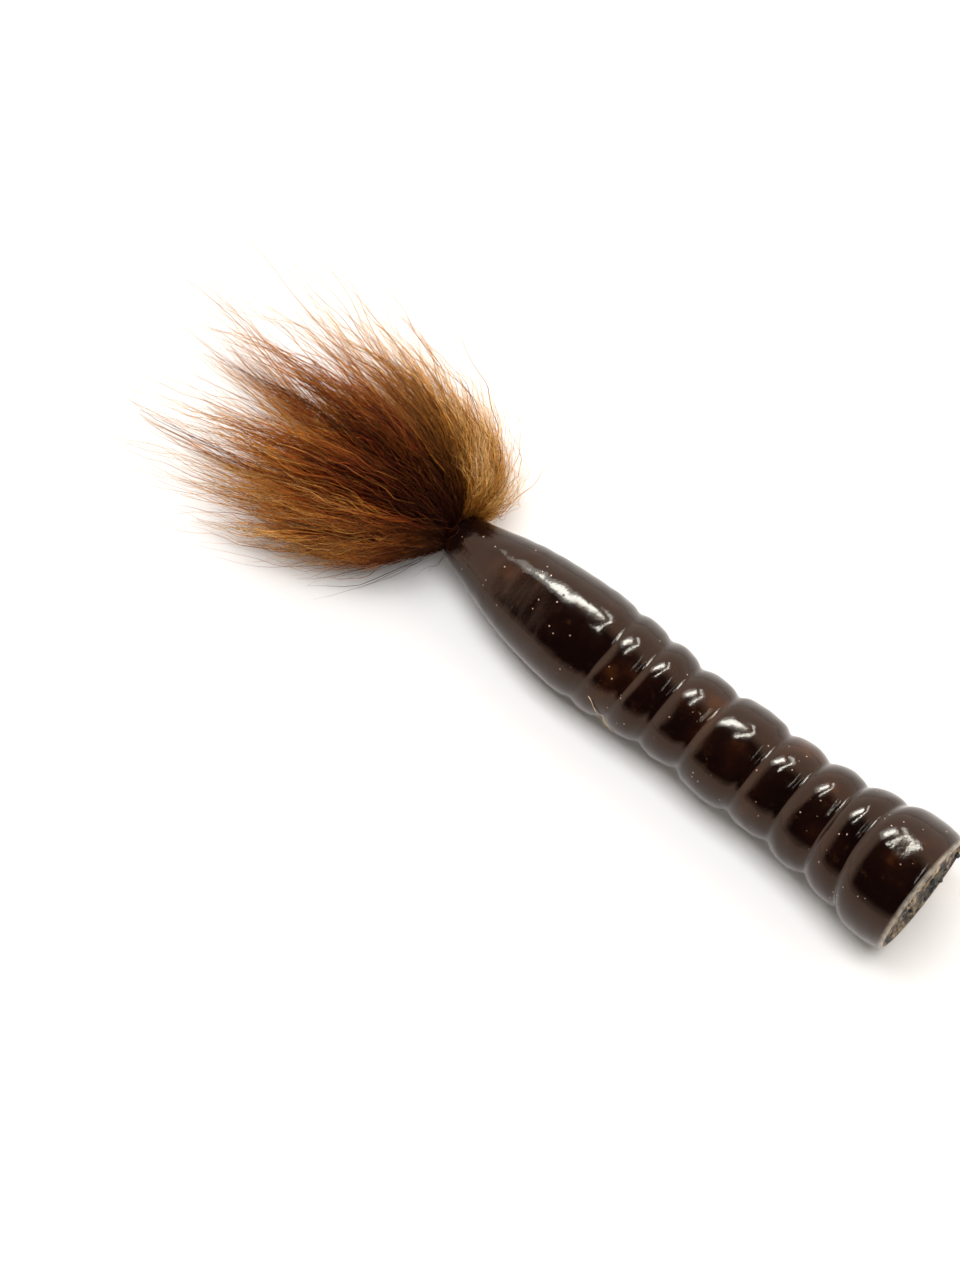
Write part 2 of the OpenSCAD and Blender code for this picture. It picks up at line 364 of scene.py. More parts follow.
# ---------------------------------------------------------------- hair
def tubes(name, lines, radii, tone, flow, sides=3):
    """Thin tapered tubes along lines (hairs, points, 3), each closed at both ends.
    Each hair's UV strip holds its tone across and its place from root to tip along, so that hairs
    of the same tone share one place in a baked image."""
    hairs, count, _ = lines.shape
    tangent = unit(np.gradient(lines, axis=1))
    rng = np.random.default_rng(hairs)
    reference = unit(rng.normal(size=(hairs, 1, 3)))
    across = unit(np.cross(tangent, reference))
    other = np.cross(tangent, across)
    angles = np.arange(sides) * 2 * np.pi / sides
    ring = across[:, :, None, :] * np.cos(angles)[None, None, :, None]
    ring = ring + other[:, :, None, :] * np.sin(angles)[None, None, :, None]
    points = lines[:, :, None, :] + ring * radii[:, :, None, None]
    floor = 0.03 * MM
    points[..., 2] = np.maximum(points[..., 2], floor)
    base = np.arange(hairs)[:, None, None] * count * sides
    j = np.arange(count - 1)[None, :, None]
    k = np.arange(sides)[None, None, :]
    n = (k + 1) % sides
    quads = np.stack([base + j * sides + k, base + j * sides + n,
                      base + (j + 1) * sides + n, base + (j + 1) * sides + k], -1)
    first = np.arange(hairs)[:, None] * count * sides
    root_cap = first + np.arange(sides)[::-1][None, :]
    tip_cap = first + (count - 1) * sides + np.arange(sides)[None, :]
    caps = np.stack([root_cap, tip_cap], 1).reshape(-1, sides)
    mesh = mesh_from_arrays(name, points.reshape(-1, 3), quads.reshape(-1, 4), caps)
    width = 1 / 48       # of each hair's strip in the UV map
    left = tone * (1 - width)
    u0 = left[:, None, None] + width * k / sides
    u1 = left[:, None, None] + width * (k + 1) / sides
    v0 = flow[:, :-1, None]
    v1 = flow[:, 1:, None]
    shape = (hairs, count - 1, sides)
    corner_u = np.stack([np.broadcast_to(c, shape) for c in (u0, u1, u1, u0)], -1)
    corner_v = np.stack([np.broadcast_to(c, shape) for c in (v0, v0, v1, v1)], -1)
    uv = np.stack([corner_u, corner_v], -1).reshape(-1, 2)
    cap_u = np.repeat(left[:, None, None] + width * np.array([0.1, 0.9, 0.5])[None, None, :], 2, axis=1)
    cap_v = np.stack([flow[:, 0], flow[:, -1]], 1)[:, :, None] * np.array([0.996, 0.996, 1.0])[None, None, :]
    cap_uv = np.stack([cap_u, cap_v], -1).reshape(-1, 2)
    layer = mesh.uv_layers.new(name="OFBake")
    layer.data.foreach_set("uv", np.concatenate([uv, cap_uv]).astype(np.float32).ravel())
    return link(mesh, name)


def bezier(p0, p1, p2, p3, t):
    """Points at t, from 0 to 1, of cubic curves with these control points."""
    t = t[..., None]
    a, b = (1 - t) ** 3, 3 * (1 - t) ** 2 * t
    c, d = 3 * (1 - t) * t * t, t ** 3
    return a * p0[:, None] + b * p1[:, None] + c * p2[:, None] + d * p3[:, None]


# The tuft points forward, along -X. Its right is +Y and its left is -Y.
forward = np.array([-1.0, 0.0, 0.0])
up = np.array([0.0, 0.0, 1.0])
bundle_radius = 2.7 * MM
root_start = 0.5 * MM
root_depth = 1.8 * MM

# How far the tips reach over the table, in millimetres, at each angle from the tuft's middle line.
reach_angle = [-60, -45, -37, -32, -27, -18, -8, 2, 10, 17, 24, 32, 42, 52, 70]
reach_mm = [24, 36, 51, 60, 65, 71, 77, 80, 79, 73, 66, 58, 47, 34, 20]
# The steepest angle at which hairs leave the mouth: to the left, at the bottom, to the right, on top
# and to the left again, as turns about the tuft's middle line from the right.
leave_turn = [-180, -90, 0, 90, 180]
leave_deg = [54, 30, 122, 76, 54]
# How far the tips spread to each side of the middle line, and how high they lie over the table.
spread_right_deg = 52
spread_left_deg = 36
lowest_tip_mm = 0.9
tip_rise_mm = 10.5


def fur_lines(rng, q, h, last, stray, points):
    """Centre lines of hairs and the place of each of their points along a full-length hair.
    q and h place each hair across the tuft: q from -1 to 1 sideways, h from -1 on the table to 1 on top.
    last is where the hair ends on its full path. stray pushes its tip off its place, in millimetres."""
    share = np.sqrt(q * q + h * h)
    turn = np.arctan2(h, q)
    steepest = np.interp(np.degrees(turn), leave_turn, leave_deg)
    lean = np.radians(steepest) * np.minimum(share, 1.1) ** 1.25
    outward = np.cos(turn)[:, None] * side + np.sin(turn)[:, None] * up
    leave = np.cos(lean)[:, None] * forward + np.sin(lean)[:, None] * outward
    right_deg = spread_right_deg * np.abs(q) ** 1.2
    left_deg = -spread_left_deg * np.minimum(np.abs(q), 1.02)
    tip_angle = np.where(q > 0, right_deg, left_deg) + rng.normal(scale=2.0, size=len(q))
    reach = np.interp(tip_angle, reach_angle, reach_mm) * MM * rng.uniform(0.88, 1.06, len(q))
    a = np.radians(tip_angle)
    high = np.clip(0.5 * (h + 1), 0, 1)
    tip = mouth + reach[:, None] * (np.cos(a)[:, None] * forward + np.sin(a)[:, None] * side)
    tip[:, 2] = (lowest_tip_mm + tip_rise_mm * high ** 1.4) * MM
    tip = tip + stray * MM
    arrive_angle = np.where(q > 0, 0.62, 0.55) * a
    arrive = np.cos(arrive_angle)[:, None] * forward + np.sin(arrive_angle)[:, None] * side
    arrive = unit(arrive - (0.08 + 0.34 * high)[:, None] * up)
    start = mouth + bundle_radius * share[:, None] * outward + root_start * forward
    push = (0.28 + 0.10 * share) * reach
    pull = 0.36 * reach
    grow = np.linspace(0, 1, points - 1)[None, :] ** 1.2
    t = grow * last[:, None]
    line = bezier(start, start + push[:, None] * leave, tip - pull[:, None] * arrive, tip, t)
    inside = start - root_depth * forward
    return np.concatenate([inside[:, None], line], axis=1), np.concatenate([0 * t[:, :1], t], axis=1)


def crown_lines(rng, count, points):
    """Short unruly hairs that stand up round the mouth and cross each other, with where each heads."""
    turn = rng.uniform(-np.pi, np.pi, count)
    share = np.sqrt(rng.uniform(0.1, 1.0, count))
    outward = np.cos(turn)[:, None] * side + np.sin(turn)[:, None] * up
    start = mouth + bundle_radius * share[:, None] * outward + root_start * forward
    heading = unit(0.6 * forward + 0.75 * up + rng.normal(size=(count, 3)) * np.array([0.4, 0.7, 0.4]))
    length = rng.uniform(9, 26, count) * MM
    t = np.tile(np.linspace(0, 1, points - 1), (count, 1))
    reach = (t * length[:, None])[..., None]
    fall = (t * t * length[:, None])[..., None] * (0.45 * forward - 0.5 * up)
    line = start[:, None] + reach * heading[:, None] + fall
    inside = start - root_depth * forward
    flow = np.concatenate([0 * t[:, :1], t], axis=1)
    return np.concatenate([inside[:, None], line], axis=1), flow, heading


def assign(place, rng, locks):
    """The lock each hair belongs to, as the index of the hair at the lock's centre."""
    centres = rng.choice(len(place), locks, replace=False)
    jitter = rng.normal(scale=0.02, size=place.shape)
    distance = ((place + jitter)[:, None, :] - place[centres][None, :, :]) ** 2
    return centres[distance.sum(-1).argmin(1)]


def gather(lines, lock, rng, strength, begin):
    """Draws each hair towards the centre hair of its lock, more and more from begin to the tip."""
    t = np.linspace(0, 1, lines.shape[1])
    pull = strength * rng.uniform(0.0, 1.0, len(lines)) ** 0.25
    return lines + (lines[lock] - lines) * smoothstep(begin, 1.0, t)[None, :, None] * pull[:, None, None]


def wave(lines, owner, rng, amplitude, turns, grow):
    """Bends each hair in a slow random wave; hairs with the same owner wave alike."""
    owners = int(owner.max()) + 1
    phase = rng.uniform(0, 2 * np.pi, (owners, 2))[owner]
    swing = (rng.uniform(0.4, 1.0, owners) * amplitude)[owner]
    pace = (turns * rng.uniform(0.7, 1.3, owners))[owner]
    t = np.linspace(0, 1, lines.shape[1])
    envelope = t[None, :] ** grow
    angle = 2 * np.pi * pace[:, None] * t[None, :]
    lines = lines + (swing[:, None] * envelope * np.sin(angle + phase[:, :1]))[..., None] * side
    return lines + (0.7 * swing[:, None] * envelope * np.sin(angle + phase[:, 1:]))[..., None] * up


def kink(lines, rng, amount):
    """Small random bends at every point, as in real fur; the roots stay in place."""
    offset = rng.normal(scale=amount, size=lines.shape)
    offset = 0.5 * offset + 0.25 * np.roll(offset, 1, axis=1) + 0.25 * np.roll(offset, -1, axis=1)
    grow = smoothstep(0, 0.15, np.linspace(0, 1, lines.shape[1]))
    return lines + offset * grow[None, :, None]


share_past_box = 0.03
reach_past_box = 9.3 * MM


def keep_in_box(lines):
    """Slows hair tips down as they come to the furthest that fur may stand out past the CAD box."""
    low, high = np.array(cad_bounds[0]), np.array(cad_bounds[1])
    past = share_past_box * (high - low) + reach_past_box
    knee = 5 * MM
    over = np.maximum(lines - (high + past - knee), 0)
    lines = np.where(over > 0, high + past - knee * np.exp(-over / knee), lines)
    under = np.maximum((low - past + knee) - lines, 0)
    return np.where(under > 0, low - past + knee * np.exp(-under / knee), lines)


def settle(lines):
    """Keeps hairs in the box, off the table and off the nose of the handle."""
    lines = keep_in_box(lines)
    layer = 1.6 * MM
    z = lines[..., 2]
    lines[..., 2] = np.where(z < layer, layer * np.exp(np.minimum(z / layer - 1, 0)), z)
    outer = lines[:, 2:]
    offset = outer - mouth
    along = offset @ axis
    radial = offset - along[..., None] * axis
    radius = np.linalg.norm(radial, axis=-1)
    clear = np.interp(along, profile_s, profile_r) + 0.35 * MM
    short = np.where(along > -0.4 * MM, np.maximum(clear / np.maximum(radius, 0.1 * MM), 1), 1)
    lines[:, 2:] = mouth + along[..., None] * axis + radial * short[..., None]
    return lines


def disc_places(rng, count, inner, outer, low, high):
    """Random places q, h in a ring between two shares, with q from low to high."""
    q, h = np.zeros(0), np.zeros(0)
    while len(q) < count:
        share = np.sqrt(rng.uniform(inner ** 2, outer ** 2, 4 * count))
        turn = rng.uniform(-np.pi, np.pi, 4 * count)
        keep = (share * np.cos(turn) >= low) & (share * np.cos(turn) <= high)
        q = np.concatenate([q, (share * np.cos(turn))[keep]])
        h = np.concatenate([h, (share * np.sin(turn))[keep]])
    return q[:count], h[:count]


def make_layer(name, seed, count, ring, sector, thickness, tone_of, points=16, last=(0.42, 1.10), crowd=2.5,
               locks=50, small_locks=260, gathering=(0.92, 0.4), stray_scale=2.0, kinks=0.45, lighten=0.0,
               pale_tips=0.0):
    """One layer of the tuft: hairs between two shares of the bundle and two side places.
    crowd above 1 ends more of them early; lighten makes them paler towards their roots; pale_tips,
    from 0 to 1, gives short hairs the tip colours of long ones."""
    rng = np.random.default_rng(seed)
    q, h = disc_places(rng, count, *ring, *sector)
    place = np.stack([q, h], 1)
    small = assign(place, rng, small_locks)
    large = assign(place, rng, locks)
    lock_end = rng.uniform(0, 1, count)[small] ** crowd
    end = (last[0] + (last[1] - last[0]) * lock_end) * rng.uniform(0.76, 1.06, count)
    stray = rng.normal(scale=stray_scale, size=(count, 3))[small]
    stray = stray + rng.normal(scale=1.3 * stray_scale, size=(count, 3))
    lines, flow = fur_lines(rng, q, h, end, stray, points)
    lines = gather(lines, small, rng, gathering[0], begin=0.12)
    lines = gather(lines, large, rng, gathering[1], begin=0.45)
    lines = wave(lines, large, rng, amplitude=1.3 * MM, turns=1.2, grow=1.2)
    lines = wave(lines, small, rng, amplitude=0.6 * MM, turns=2.4, grow=0.7)
    lines = wave(lines, np.arange(count), rng, amplitude=0.36 * MM, turns=4.2, grow=0.35)
    lines = settle(kink(lines, rng, kinks * MM))
    tone = tone_of(q, rng) + rng.normal(scale=0.06, size=count)[small]
    flow = flow / end[:, None] ** pale_tips
    pace = rng.uniform(0.74, 1.2, count)[small] * rng.uniform(0.88, 1.12, count)
    flow = np.clip(flow * pace[:, None], 0, 1)
    flow = lighten + (1 - lighten) * flow
    return tubes(name, lines, hair_radii(rng, count, points, thickness), np.clip(tone, 0.01, 0.99), flow)


def hair_radii(rng, count, points, thickness):
    """Radii along each hair: a little thinner at the root, full for most of its length and tapering
    to the tip. About a third of the hairs are coarse."""
    t = np.linspace(0, 1, points)[None, :]
    body = np.clip(0.6 + 1.3 * t, 0, 1) * np.clip(2.2 * (1.08 - t), 0.1, 1)
    coarse_share = 0.35
    return thickness * np.where(rng.uniform(0, 1, count) < coarse_share, 1.5, 0.85)[:, None] * body


def make_crown(name, seed, count, thickness, points=12):
    """The unruly short hairs over the mouth: dark red, and golden where they head to the right."""
    rng = np.random.default_rng(seed)
    lines, flow, heading = crown_lines(rng, count, points)
    lines = wave(lines, np.arange(count), rng, amplitude=0.5 * MM, turns=1.6, grow=1.0)
    lines = settle(kink(lines, rng, 0.28 * MM))
    tone = 0.06 + 0.8 * smoothstep(0.15, 0.85, heading[:, 1]) + rng.normal(scale=0.09, size=count)
    pale_share = 0.07
    pale = rng.uniform(0, 1, count) < pale_share
    flow = flow * np.where(pale, 0.75, rng.uniform(0.25, 0.5, count))[:, None]
    return tubes(name, lines, hair_radii(rng, count, points, thickness), np.clip(tone, 0.01, 0.99), flow)


# ---------------------------------------------------------------- materials
def new_material(name):
    """A material with a Principled shader, and its nodes and links."""
    material = bpy.data.materials.new(name)
    material.use_nodes = True
    nodes = material.node_tree.nodes
    nodes.clear()
    output = nodes.new("ShaderNodeOutputMaterial")
    shader = nodes.new("ShaderNodeBsdfPrincipled")
    material.node_tree.links.new(shader.outputs["BSDF"], output.inputs["Surface"])
    return material, nodes, material.node_tree.links, shader


def ramp(nodes, stops):
    """A colour ramp through (place, colour) stops."""
    node = nodes.new("ShaderNodeValToRGB")
    elements = node.color_ramp.elements
    elements[0].position, elements[0].color = stops[0][0], (*stops[0][1], 1)
    elements[1].position, elements[1].color = stops[-1][0], (*stops[-1][1], 1)
    for place, colour in stops[1:-1]:
        elements.new(place).color = (*colour, 1)
    return node


def noise(nodes, links, coordinate, scale, detail=3.0, roughness=0.55, stretch=None):
    """A noise texture; stretch multiplies the coordinate first, along each axis."""
    if stretch is not None:
        mapping = nodes.new("ShaderNodeMapping")
        mapping.inputs["Scale"].default_value = stretch
        links.new(coordinate, mapping.inputs["Vector"])
        coordinate = mapping.outputs["Vector"]
    node = nodes.new("ShaderNodeTexNoise")
    node.inputs["Scale"].default_value = scale
    node.inputs["Detail"].default_value = detail
    node.inputs["Roughness"].default_value = roughness
    links.new(coordinate, node.inputs["Vector"])
    return node


def between(nodes, links, value, low_in, high_in, low_out, high_out):
    """Maps the value's range low_in to high_in onto low_out to high_out."""
    node = nodes.new("ShaderNodeMapRange")
    limits = {"From Min": low_in, "From Max": high_in, "To Min": low_out, "To Max": high_out}
    for key, number in limits.items():
        node.inputs[key].default_value = number
    links.new(value, node.inputs["Value"])
    return node.outputs["Result"]


def mix_colour(nodes, links, factor, a, b, blend="MIX"):
    """Mixes two colours; each input is a number, a colour or a socket."""
    node = nodes.new("ShaderNodeMix")
    node.data_type = "RGBA"
    node.blend_type = blend
    for socket, value in ((node.inputs[0], factor), (node.inputs[6], a), (node.inputs[7], b)):
        if isinstance(value, (int, float)):
            socket.default_value = value
        elif isinstance(value, tuple):
            socket.default_value = (*value, 1)
        else:
            links.new(value, socket)
    return node.outputs[2]


def product(nodes, links, a, b):
    """One value times another."""
    node = nodes.new("ShaderNodeMath")
    node.operation = "MULTIPLY"
    links.new(a, node.inputs[0])
    links.new(b, node.inputs[1])
    return node.outputs[0]


def bump(nodes, links, shader, layers):
    """Chains bump layers of (height socket, strength, depth in metres) into the shader's normal."""
    last = None
    for height, strength, depth in layers:
        node = nodes.new("ShaderNodeBump")
        node.inputs["Strength"].default_value = strength
        node.inputs["Distance"].default_value = depth
        links.new(height, node.inputs["Height"])
        if last is not None:
            links.new(last, node.inputs["Normal"])
        last = node.outputs["Normal"]
    links.new(last, shader.inputs["Normal"])


def scattered_dots(nodes, links, coordinate, scale, size, share_left_out):
    """A mask of small round dots, one in each of some randomly chosen cells."""
    cells = nodes.new("ShaderNodeTexVoronoi")
    cells.inputs["Scale"].default_value = scale
    links.new(coordinate, cells.inputs["Vector"])
    dot = between(nodes, links, cells.outputs["Distance"], 0.4 * size, size, 1, 0)
    pick = nodes.new("ShaderNodeSeparateColor")
    links.new(cells.outputs["Color"], pick.inputs["Color"])
    chosen = between(nodes, links, pick.outputs["Red"], share_left_out, share_left_out + 0.1, 0, 1)
    return product(nodes, links, dot, chosen)


def glaze_material():
    """Iron-brown glaze: nearly black, red-brown in clouds, with pale specks and dark pits, partly painted
    shade in the pits, and pale at the tail rim, where the glaze thins and a painted highlight stands in for the
    rim's bright edge."""
    material, nodes, links, shader = new_material("iron_glaze")
    place = nodes.new("ShaderNodeTexCoord").outputs["Object"]
    cloud = noise(nodes, links, place, 90, 3)
    fine = noise(nodes, links, place, 600, 3)
    colour = ramp(nodes, [(0.3, (0.0035, 0.0013, 0.0011)), (0.5, (0.0062, 0.0020, 0.0015)),
                          (0.60, (0.012, 0.0034, 0.0019)), (0.72, (0.050, 0.015, 0.004))])
    links.new(cloud.outputs["Fac"], colour.inputs["Fac"])
    warm = mix_colour(nodes, links, between(nodes, links, fine.outputs["Fac"], 0.6, 0.8, 0, 0.3),
                      colour.outputs["Color"], (0.07, 0.026, 0.009))
    specks = scattered_dots(nodes, links, place, 650, 0.13, 0.62)
    # The pits are dug in by the bump and also painted near black: partly painted shade in their hollows.
    pits = scattered_dots(nodes, links, place, 330, 0.09, 0.72)
    spotted = mix_colour(nodes, links, specks, warm, (0.5, 0.31, 0.22))
    pit_shaded_colour = mix_colour(nodes, links, pits, spotted, (0.001, 0.0008, 0.0006))
    # Pale at the tail rim: glaze that thins over the edge, partly a painted highlight standing in for the rim's
    # bright edge.
    rim = nodes.new("ShaderNodeAttribute")
    rim.attribute_name = "tail_rim"
    patchy = between(nodes, links, fine.outputs["Fac"], 0.35, 0.6, 0.35, 1)
    thin_glaze_and_rim_highlight = product(nodes, links, rim.outputs["Fac"], patchy)
    links.new(mix_colour(nodes, links, thin_glaze_and_rim_highlight, pit_shaded_colour, (0.34, 0.29, 0.23)), shader.inputs["Base Color"])
    smear = noise(nodes, links, place, 260, 3)
    links.new(between(nodes, links, smear.outputs["Fac"], 0.35, 0.7, 0.06, 0.15), shader.inputs["Roughness"])
    peel = noise(nodes, links, place, 1900, 2)
    swell = noise(nodes, links, place, 330, 1, stretch=(1.6, 0.4, 0.4))
    swelling = (swell.outputs["Fac"], 0.40, 0.10 * MM)
    orange_peel = (peel.outputs["Fac"], 0.7, 0.02 * MM)
    bump(nodes, links, shader, [swelling, orange_peel, (specks, 0.4, 0.04 * MM), (pits, 0.9, -0.10 * MM)])
    shader.inputs["IOR"].default_value = 1.44
    shader.inputs["Specular Tint"].default_value = (1.0, 0.65, 0.48, 1)
    return material


def clay_material():
    """Bare fired clay: beige and ochre torn streaks on grey-brown, burnt nearly black in patches. The darkest
    streaks and grain lie where their bumps are lowest, partly painted shade in the torn furrows.
    """
    material, nodes, links, shader = new_material("bare_stoneware")
    place = nodes.new("ShaderNodeTexCoord").outputs["Object"]
    streak = noise(nodes, links, place, 330, 6, 0.65, stretch=(1.0, 1.4, 0.8))
    patches = noise(nodes, links, place, 150, 3)
    grain = noise(nodes, links, place, 1500, 4)
    # The ramp's darkest stops fall where the streak bump is lowest: partly clay colour, partly painted shade in
    # the furrows.
    colour = ramp(nodes, [(0.35, (0.008, 0.005, 0.004)), (0.45, (0.060, 0.038, 0.024)),
                          (0.52, (0.21, 0.145, 0.085)), (0.61, (0.46, 0.33, 0.17)),
                          (0.74, (0.74, 0.62, 0.46))])
    links.new(streak.outputs["Fac"], colour.inputs["Fac"])
    burnt = mix_colour(nodes, links, between(nodes, links, patches.outputs["Fac"], 0.40, 0.52, 0.75, 0),
                       colour.outputs["Color"], (0.014, 0.010, 0.008))
    # The grain darkens its own low spots too, a little painted shade.
    final = mix_colour(nodes, links, 0.6, burnt,
                       between(nodes, links, grain.outputs["Fac"], 0.3, 0.7, 0.3, 1.3), "MULTIPLY")
    links.new(final, shader.inputs["Base Color"])
    links.new(between(nodes, links, grain.outputs["Fac"], 0.3, 0.7, 0.55, 0.95), shader.inputs["Roughness"])
    bump(nodes, links, shader, [(streak.outputs["Fac"], 0.9, 0.5 * MM),
                                (grain.outputs["Fac"], 0.7, 0.15 * MM)])
    return material


def rough_material(name, dark, light, scale, roughness, depth, stretch=None):
    """A mottled material with small bumps."""
    material, nodes, links, shader = new_material(name)
    place = nodes.new("ShaderNodeTexCoord").outputs["Object"]
    mottle = noise(nodes, links, place, scale, 5, 0.6, stretch)
    colour = ramp(nodes, [(0.3, dark), (0.7, light)])
    links.new(mottle.outputs["Fac"], colour.inputs["Fac"])
    links.new(colour.outputs["Color"], shader.inputs["Base Color"])
    links.new(between(nodes, links, mottle.outputs["Fac"], 0.3, 0.7, *roughness), shader.inputs["Roughness"])
    bump(nodes, links, shader, [(mottle.outputs["Fac"], 0.8, depth)])
    return material


def hair_material():
    """Tail fur. Across the UV map the tone goes from dark red-brown hairs to golden and pale ones;
    along it each hair goes from root to tip. Stretched noise varies each hair's tone at random and paints glints
    along the strands."""
    material, nodes, links, shader = new_material("tail_fur")
    uv = nodes.new("ShaderNodeUVMap")
    uv.uv_map = "OFBake"
    split = nodes.new("ShaderNodeSeparateXYZ")
    links.new(uv.outputs["UV"], split.inputs["Vector"])
    dark = ramp(nodes, [(0.0, (0.010, 0.0010, 0.0010)), (0.24, (0.034, 0.0028, 0.0020)),
                        (0.40, (0.13, 0.0120, 0.0026)), (0.53, (0.34, 0.070, 0.007)),
                        (0.66, (0.52, 0.19, 0.022)), (1.0, (0.55, 0.33, 0.10))])
    gold = ramp(nodes, [(0.0, (0.03, 0.008, 0.002)), (0.12, (0.13, 0.038, 0.005)),
                        (0.34, (0.46, 0.18, 0.024)), (0.6, (0.78, 0.45, 0.14)), (1.0, (0.92, 0.72, 0.47))])
    links.new(split.outputs["Y"], dark.inputs["Fac"])
    links.new(split.outputs["Y"], gold.inputs["Fac"])
    colour = mix_colour(nodes, links, split.outputs["X"], dark.outputs["Color"], gold.outputs["Color"])
    # Noise streaks along the strands: random tone between hairs, and partly painted glints along each hair.
    streaks = noise(nodes, links, uv.outputs["UV"], 6, 2, 0.5, stretch=(14.0, 3.0, 1.0))
    shade = between(nodes, links, streaks.outputs["Fac"], 0.3, 0.7, 0.35, 1.65)
    final = mix_colour(nodes, links, 1.0, colour, shade, "MULTIPLY")
    links.new(final, shader.inputs["Base Color"])
    links.new(between(nodes, links, streaks.outputs["Fac"], 0.3, 0.7, 0.38, 0.55), shader.inputs["Roughness"])
    shader.inputs["Specular IOR Level"].default_value = 0.08
    shader.inputs["Specular Tint"].default_value = (1.0, 0.7, 0.4, 1)
    return material


def dress(piece, material, body=None, replaces=()):
    """Gives a piece its material and its body, and hides the CAD nodes it stands for."""
    piece.data.materials.clear()
    piece.data.materials.append(material)
    if body is not None:
        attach(piece, body)
    if replaces:
        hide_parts(*replaces)
    return piece


def make_fibre():
    """Two fine fibres caught on the first rings, on the side facing the table's front."""
    rng = np.random.default_rng(SEED + 9)
    t = np.linspace(0, 1, 22)
    lines = []
    for start, end, first, last, lift in [(39.5, 47.5, 158, 196, 0.25), (41.5, 46.0, 166, 205, 0.45)]:
        s = (start + (end - start) * t) * MM
        around = np.radians(first + (last - first) * t) + 0.05 * np.sin(9 * t + rng.uniform(0, ROUGH_PHASES))
        radius = hermite(s, profile_s, profile_r) + lift * np.sin(np.pi * t) * MM + 0.06 * MM
        lines.append(handle_points(s, radius, around))
    lines = np.array(lines)
    fibre_radius = 0.05 * MM
    pale_flow = 0.93
    pale_tones = np.array([0.95, 0.9])
    radii = np.full(lines.shape[:2], fibre_radius)
    return tubes("stray_fibre", lines, radii, pale_tones, np.full(lines.shape[:2], pale_flow))


glaze = glaze_material()
clay = clay_material()
grit = rough_material("black_grit", (0.004, 0.0035, 0.003), (0.035, 0.028, 0.022), 1800,
                      (0.35, 0.8), 0.1 * MM)
hair = hair_material()

dress(make_glaze(), glaze, "handle", ["glaze_coat"])
dress(make_clay(), clay, "handle", ["stoneware_body"])
dress(make_grit(), grit, "handle", ["kiln_grit"])
dress(make_fibre(), hair, "handle")


# ---------------------------------------------------------------- the tuft's layers
def centre_tone(q, rng):
    """Dark red inside the tuft, a little golden towards its right."""
    return 0.05 + 0.4 * smoothstep(0.1, 0.8, q) + rng.normal(scale=0.05, size=len(q))


def outer_tone(q, rng):
    """Dark red on top and to the left, golden to the right, with a few pale hairs."""
    golden = smoothstep(0.0, 0.85, q) * 0.85 + smoothstep(0.6, 1.0, -q) * 0.12
    pale = (rng.uniform(size=len(q)) < 0.04) * 0.35
    return 0.06 + golden + pale + rng.normal(scale=0.06, size=len(q))


def pale_tone(q, rng):
    """Golden to pale, for the short fur on the right."""
    return 0.70 + 0.3 * np.clip(q, 0, 1) + rng.normal(scale=0.12, size=len(q))


def stray_tone(q, rng):
    """Anything from dark red to half golden."""
    return rng.uniform(0.05, 0.5, len(q))


def hang(piece, replaces=()):
    """Gives a piece of fur its look and bakes its placement into its mesh."""
    dress(piece, hair, replaces=replaces)
    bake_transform(piece)


def add_layer(name, seed, count, ring, sector, thickness, tone_of, slot, replaces=(), **kind):
    """Makes a layer of hairs this thick in millimetres and gives it the fur's look."""
    hang(make_layer(name, seed, count, ring, sector, thickness * MM, tone_of, **kind), replaces)


everywhere = (-1.2, 1.2)
add_layer("core_hairs", 21, 1500, (0.0, 0.42), everywhere, 0.085, centre_tone, "core_hair",
          ["core_hair_base", "core_hair_tip"], points=11, last=(0.3, 0.62))
add_layer("belly_hairs", 22, 1800, (0.38, 0.72), everywhere, 0.075, centre_tone, "belly_hair",
          ["belly_hair_base", "belly_hair_tip"], points=17, last=(0.32, 0.85), kinks=0.4)
add_layer("mantle_hairs_left", 23, 950, (0.68, 1.0), (-1.1, -0.28), 0.074, outer_tone, "mantle_hair",
          ["mantle_hair_base", "mantle_hair_tip"], points=30, pale_tips=0.35)
add_layer("mantle_hairs_middle", 24, 1050, (0.68, 1.0), (-0.5, 0.12), 0.078, outer_tone, "mantle_hair",
          points=30, pale_tips=0.2)
add_layer("mantle_hairs_upper", 29, 950, (0.68, 1.0), (-0.05, 0.55), 0.074, outer_tone, "mantle_hair",
          points=30, pale_tips=0.2)
add_layer("mantle_hairs_right", 25, 1000, (0.66, 1.0), (0.4, 1.1), 0.062, outer_tone, "mantle_hair",
          points=30, last=(0.3, 1.0), pale_tips=0.6)
add_layer("right_fur", 26, 1300, (0.85, 1.2), (0.45, 1.2), 0.046, pale_tone, "mantle_hair", points=22,
          last=(0.25, 1.0), gathering=(0.5, 0.2), stray_scale=4.0, kinks=0.55, lighten=0.06, small_locks=200,
          pale_tips=0.85)
add_layer("left_fur", 28, 700, (0.9, 1.15), (-1.15, -0.6), 0.046, outer_tone, "mantle_hair", points=22,
          last=(0.3, 0.95), gathering=(0.4, 0.2), stray_scale=3, kinks=0.5, lighten=0.1, small_locks=200,
          pale_tips=0.6)
add_layer("guard_hairs", 27, 90, (0.2, 1.05), everywhere, 0.056, stray_tone, "mantle_hair", points=30,
          last=(0.98, 1.25), crowd=1.0, locks=30, small_locks=60, gathering=(0.5, 0.2), stray_scale=3.0)
hang(make_crown("crown_hairs", 30, 900, 0.046 * MM))

